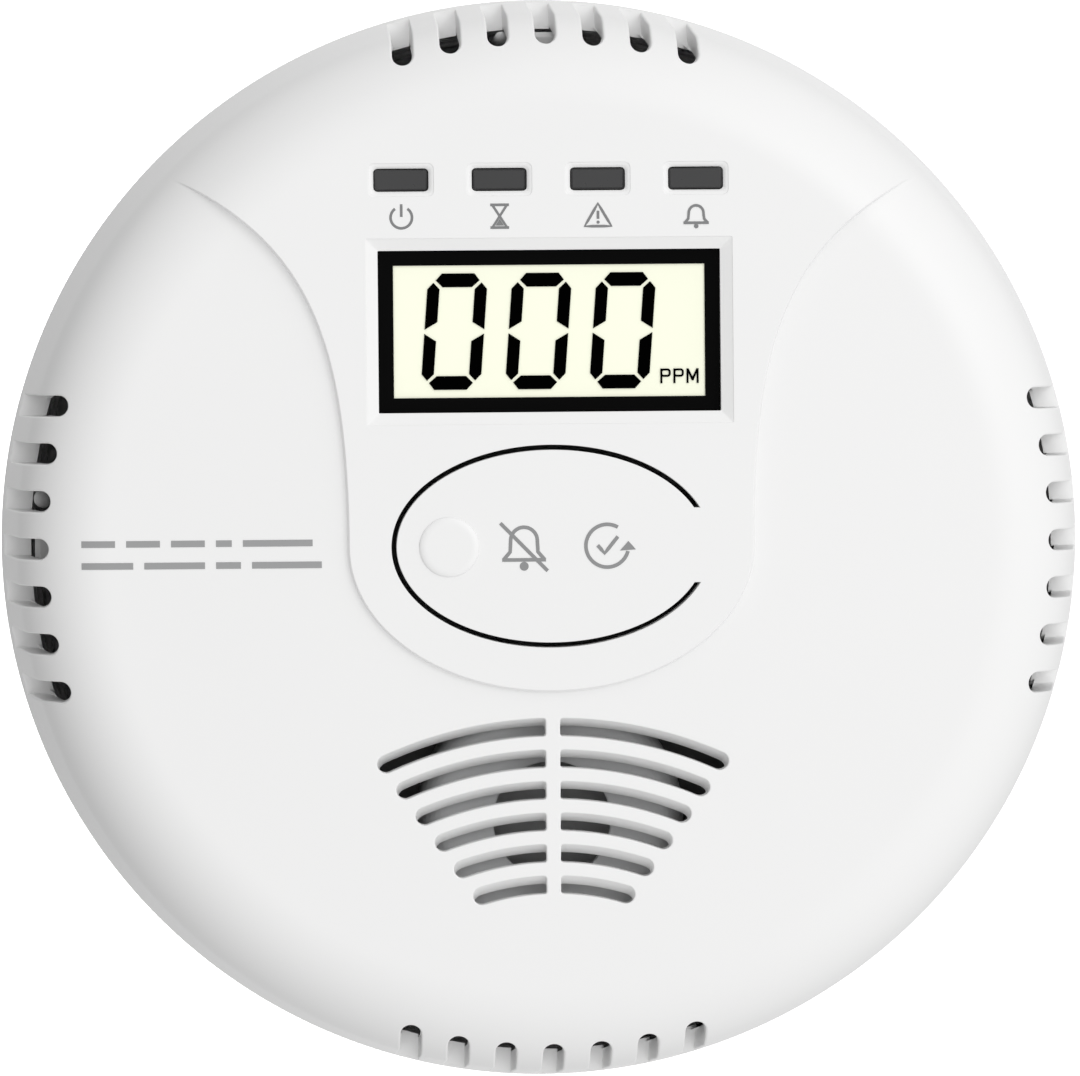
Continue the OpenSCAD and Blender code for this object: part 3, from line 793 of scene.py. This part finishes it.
def material(name, color, roughness, metallic=0.0, vary=0.03, grain=2500.0, bump=0.05,
             edge=0.0, coat=0.0, specular=0.5, stretch=(1, 1, 1), glow=0.0):
    """A procedural finish: slow colour drift, roughness drift and a fine surface grain."""
    m = bpy.data.materials.new(name)
    m.use_nodes = True
    t = m.node_tree
    bsdf = t.nodes["Principled BSDF"]
    link = t.links.new
    place = node(t, "ShaderNodeTexCoord")
    slow = node(t, "ShaderNodeTexNoise", Scale=60.0, Detail=3.0)
    link(place.outputs["Object"], slow.inputs["Vector"])
    mapping = node(t, "ShaderNodeMapping")
    mapping.inputs["Scale"].default_value = stretch
    link(place.outputs["Object"], mapping.inputs["Vector"])
    fine = node(t, "ShaderNodeTexNoise", Scale=grain, Detail=4.0, Roughness=0.6)
    link(mapping.outputs["Vector"], fine.inputs["Vector"])
    ramp = node(t, "ShaderNodeMix", data_type="RGBA")
    dark = [c * (1 - vary) for c in color]
    light = [min(1, c * (1 + vary)) for c in color]
    for socket in ramp.inputs:
        if socket.name == "A" and socket.type == "RGBA":
            socket.default_value = (*dark, 1)
        if socket.name == "B" and socket.type == "RGBA":
            socket.default_value = (*light, 1)
    link(slow.outputs["Fac"], ramp.inputs["Factor"])
    mixed = [s for s in ramp.outputs if s.type == "RGBA"][0]
    link(mixed, bsdf.inputs["Base Color"])
    rough = node(t, "ShaderNodeMapRange")
    rough.inputs["To Min"].default_value = roughness * (1 - ROUGH_VARY)
    rough.inputs["To Max"].default_value = roughness * (1 + ROUGH_VARY)
    link(fine.outputs["Fac"], rough.inputs["Value"])
    link(rough.outputs["Result"], bsdf.inputs["Roughness"])
    surface_bump = node(t, "ShaderNodeBump", Strength=bump, Distance=GRAIN_DEPTH)
    link(fine.outputs["Fac"], surface_bump.inputs["Height"])
    if edge:
        bevel = node(t, "ShaderNodeBevel", samples=6)
        bevel.inputs["Radius"].default_value = edge
        link(bevel.outputs["Normal"], surface_bump.inputs["Normal"])
    link(surface_bump.outputs["Normal"], bsdf.inputs["Normal"])
    bsdf.inputs["Metallic"].default_value = metallic
    bsdf.inputs["Specular IOR Level"].default_value = specular
    bsdf.inputs["Coat Weight"].default_value = coat
    bsdf.inputs["Coat Roughness"].default_value = COAT_ROUGHNESS
    # glow makes the surface give off its own colour. On the display panel this is painted light; on the
    # backdrop it is an even white.
    bsdf.inputs["Emission Color"].default_value = (*color, 1)
    bsdf.inputs["Emission Strength"].default_value = glow
    return m


# Slot: colour, roughness, and whatever differs from the usual finish.
FINISHES = {
    "cover_white": ((0.87, 0.87, 0.868), 0.42, dict(vary=0.008, grain=5200, bump=0.05)),
    "base_white": (
        (0.85, 0.85, 0.846), 0.48,
        dict(vary=0.012, grain=4200, bump=0.08, edge=0.00025),
    ),
    "lcd_black": (
        (0.002, 0.002, 0.002), 0.2,
        dict(vary=0.1, grain=3000, bump=0.02, edge=0.0001, specular=0.03),
    ),
    # The display panel's glow is painted light: it lights the cream evenly, removes the shade the bezel
    # casts on it, and lifts it above the case's white.
    "lcd_cream": ((0.83, 0.84, 0.69), 0.3, dict(vary=0.006, grain=6000, bump=0.02, glow=0.2)),
    "lcd_ink": ((0.0006, 0.0006, 0.0006), 0.5, dict(vary=0.1, grain=6000, bump=0.02, specular=0.0)),
    "diffuser": ((0.82, 0.84, 0.85), 0.5, dict(vary=0.02, edge=0.0002)),
    "zebra_rubber": ((0.55, 0.2, 0.24), 0.75, dict(vary=0.08, edge=0.0001)),
    "smoked": ((0.036, 0.036, 0.037), 0.28, dict(vary=0.12, grain=1800, bump=0.03)),
    "led_green": ((0.15, 0.5, 0.2), 0.2, dict(vary=0.03, edge=0.0001)),
    "led_yellow": ((0.8, 0.6, 0.1), 0.2, dict(vary=0.03, edge=0.0001)),
    "led_amber": ((0.85, 0.35, 0.05), 0.2, dict(vary=0.03, edge=0.0001)),
    "led_red": ((0.6, 0.03, 0.02), 0.2, dict(vary=0.03, edge=0.0001)),
    "board_black": (
        (0.17, 0.171, 0.173), 0.35,
        dict(vary=0.25, grain=1500, bump=0.15, edge=0.0001),
    ),
    "chip_black": ((0.015, 0.015, 0.016), 0.55, dict(vary=0.1, edge=0.0001)),
    "capacitor_sleeve": ((0.02, 0.025, 0.06), 0.25, dict(vary=0.08, edge=0.0002)),
    "copper": ((0.6, 0.22, 0.08), 0.3, dict(metallic=0.9, stretch=(1, 12, 1), edge=0.0001)),
    "plunger_red": ((0.32, 0.02, 0.015), 0.4, dict(vary=0.04, edge=0.0002)),
    "buzzer_grey": ((0.74, 0.745, 0.75), 0.5, dict(vary=0.05, bump=0.1, edge=0.0003)),
    "nickel": ((0.42, 0.42, 0.423), 0.45, dict(metallic=0.2, vary=0.06, stretch=(6, 1, 1))),
    "brass": (
        (0.75, 0.55, 0.24), 0.3,
        dict(metallic=1.0, vary=0.06, stretch=(8, 1, 1), edge=0.0001),
    ),
    "steel": (
        (0.55, 0.56, 0.58), 0.32,
        dict(metallic=1.0, vary=0.06, stretch=(10, 1, 1), edge=0.00015),
    ),
    "cell_jacket": (
        (0.03, 0.035, 0.045), 0.3,
        dict(metallic=0.5, vary=0.08, edge=0.0003, coat=0.3),
    ),
}
finishes = {name: material(name, c, r, **more) for name, (c, r, more) in FINISHES.items()}
INK = dict(vary=0.05, grain=9000, bump=0.05)
side_grey = material("side_print_grey", (0.33, 0.332, 0.335), 0.6, **INK)
print_grey = material("print_grey", (0.21, 0.212, 0.215), 0.6, **INK)
tab_grey = material("tab_print_grey", (0.27, 0.272, 0.275), 0.6, **INK)

slot_of = {s["node"]: s["material_slot"] for s in frame["record"]["subparts"]}
for name, o in frame["nodes"].items():
    o.data.materials.clear()
    o.data.materials.append(finishes[slot_of[name]])
cover_object.data.materials.append(finishes["cover_white"])
tab_object.data.materials.append(finishes["cover_white"])
legend_object.data.materials.append(print_grey)
side_object.data.materials.append(side_grey)
tab_print_object.data.materials.append(tab_grey)


# ---------------------------------------------------------------- floor, light, camera


def hide_from_light(o):
    """Seen by the camera only, so it neither lights nor shades the case."""
    o.visible_diffuse = False
    o.visible_glossy = False
    o.visible_shadow = False


def add_floor():
    """A pale floor that the camera sees but that throws no light up on the case."""
    me = bpy.data.meshes.new("floor")
    z = cad_box[0][2] - FLOOR_BELOW
    s = FLOOR_HALF
    me.from_pydata([(-s, -s, z), (s, -s, z), (s, s, z), (-s, s, z)], [], [(0, 1, 2, 3)])
    o = bpy.data.objects.new("floor", me)
    bpy.context.scene.collection.objects.link(o)
    pale = material("floor_pale", (0.9, 0.9, 0.9), 0.7, vary=0.005, grain=300, bump=0.02, specular=0.0)
    shader = pale.node_tree.nodes["Principled BSDF"]
    shader.inputs["Emission Color"].default_value = (1, 1, 1, 1)
    shader.inputs["Emission Strength"].default_value = FLOOR_GLOW
    me.materials.append(pale)
    hide_from_light(o)


def add_area(name, place, aim, size, power, tint=(1, 1, 1)):
    data = bpy.data.lights.new(name, "AREA")
    data.shape = "DISK"
    data.size = size
    data.energy = power
    data.color = tint
    o = bpy.data.objects.new(name, data)
    bpy.context.scene.collection.objects.link(o)
    o.location = place
    o.rotation_euler = (Vector(aim) - Vector(place)).to_track_quat("-Z", "Y").to_euler()


def add_camera():
    """Slightly up and left of the axis, square on to the front."""
    distance, left, up, roll = 0.66, math.radians(2.25), math.radians(1.6), math.radians(0.48)
    target = Vector((0, -RIM_Z * MM, 0))
    away = Vector((-math.sin(left) * math.cos(up), -math.cos(left) * math.cos(up), math.sin(up)))
    data = bpy.data.cameras.new("camera")
    data.sensor_width = 36.0
    reach = 0.4975  # the rim's radius as a share of the picture's width
    data.lens = data.sensor_width * reach * distance / (BODY_R * MM)
    data.clip_start, data.clip_end = 0.01, 20
    o = bpy.data.objects.new("camera", data)
    bpy.context.scene.collection.objects.link(o)
    o.location = target + away * distance
    look = (-away).to_track_quat("-Z", "Y").to_matrix().to_4x4()
    o.matrix_world = Matrix.Translation(o.location) @ look @ Matrix.Rotation(-roll, 4, "Z")
    bpy.context.scene.camera = o


def add_world():
    """Soft studio surround: a sum of broad patches of light, each (direction, power, strength)."""
    world = bpy.data.worlds.new("world")
    world.use_nodes = True
    t = world.node_tree
    way = node(t, "ShaderNodeTexCoord").outputs["Generated"]
    total = None
    for direction, power, strength in SKY:
        facing = node(t, "ShaderNodeVectorMath", operation="DOT_PRODUCT")
        t.links.new(way, facing.inputs[0])
        facing.inputs[1].default_value = Vector(direction).normalized()
        front = node(t, "ShaderNodeMath", operation="MAXIMUM")
        front.inputs[1].default_value = 0
        t.links.new(facing.outputs["Value"], front.inputs[0])
        shaped = node(t, "ShaderNodeMath", operation="POWER")
        shaped.inputs[1].default_value = power
        t.links.new(front.outputs[0], shaped.inputs[0])
        add = node(t, "ShaderNodeMath", operation="MULTIPLY_ADD")
        add.inputs[1].default_value = strength
        add.inputs[2].default_value = 0
        t.links.new(shaped.outputs[0], add.inputs[0])
        if total:
            t.links.new(total, add.inputs[2])
        total = add.outputs[0]
    t.links.new(total, t.nodes["Background"].inputs["Strength"])
    t.nodes["Background"].inputs["Color"].default_value = (1, 1, 1, 1)
    bpy.context.scene.world = world


def add_backdrop():
    """A white dome far round the scene, which only the camera sees."""
    bpy.ops.mesh.primitive_uv_sphere_add(segments=64, ring_count=32, radius=DOME_R)
    o = bpy.context.object
    o.name = "backdrop"
    white = material("backdrop_white", (1, 1, 1), 0.8, vary=0, grain=10, bump=0, specular=0, glow=1.02)
    o.data.materials.append(white)
    hide_from_light(o)


FLOOR_BELOW, FLOOR_HALF, FLOOR_GLOW = 1.2, 6.0, 0.5
DOME_R = 5.0
SKY = [
    ((1, 0, 0), 1, 0.52),
    ((0, 0, 1), 1, 0.74),
    ((0, 0, -1), 1, 0.66),
    ((0, -1, 0), 1, 0.745),
    ((0, 1, 0), 8, 1.1),
]

add_floor()
add_backdrop()
add_area("key", (1.7, -2.4, 1.2), (0, 0, 0), 1.6, 13.6)
add_camera()
add_world()
bpy.context.scene.view_settings.view_transform = "Standard"
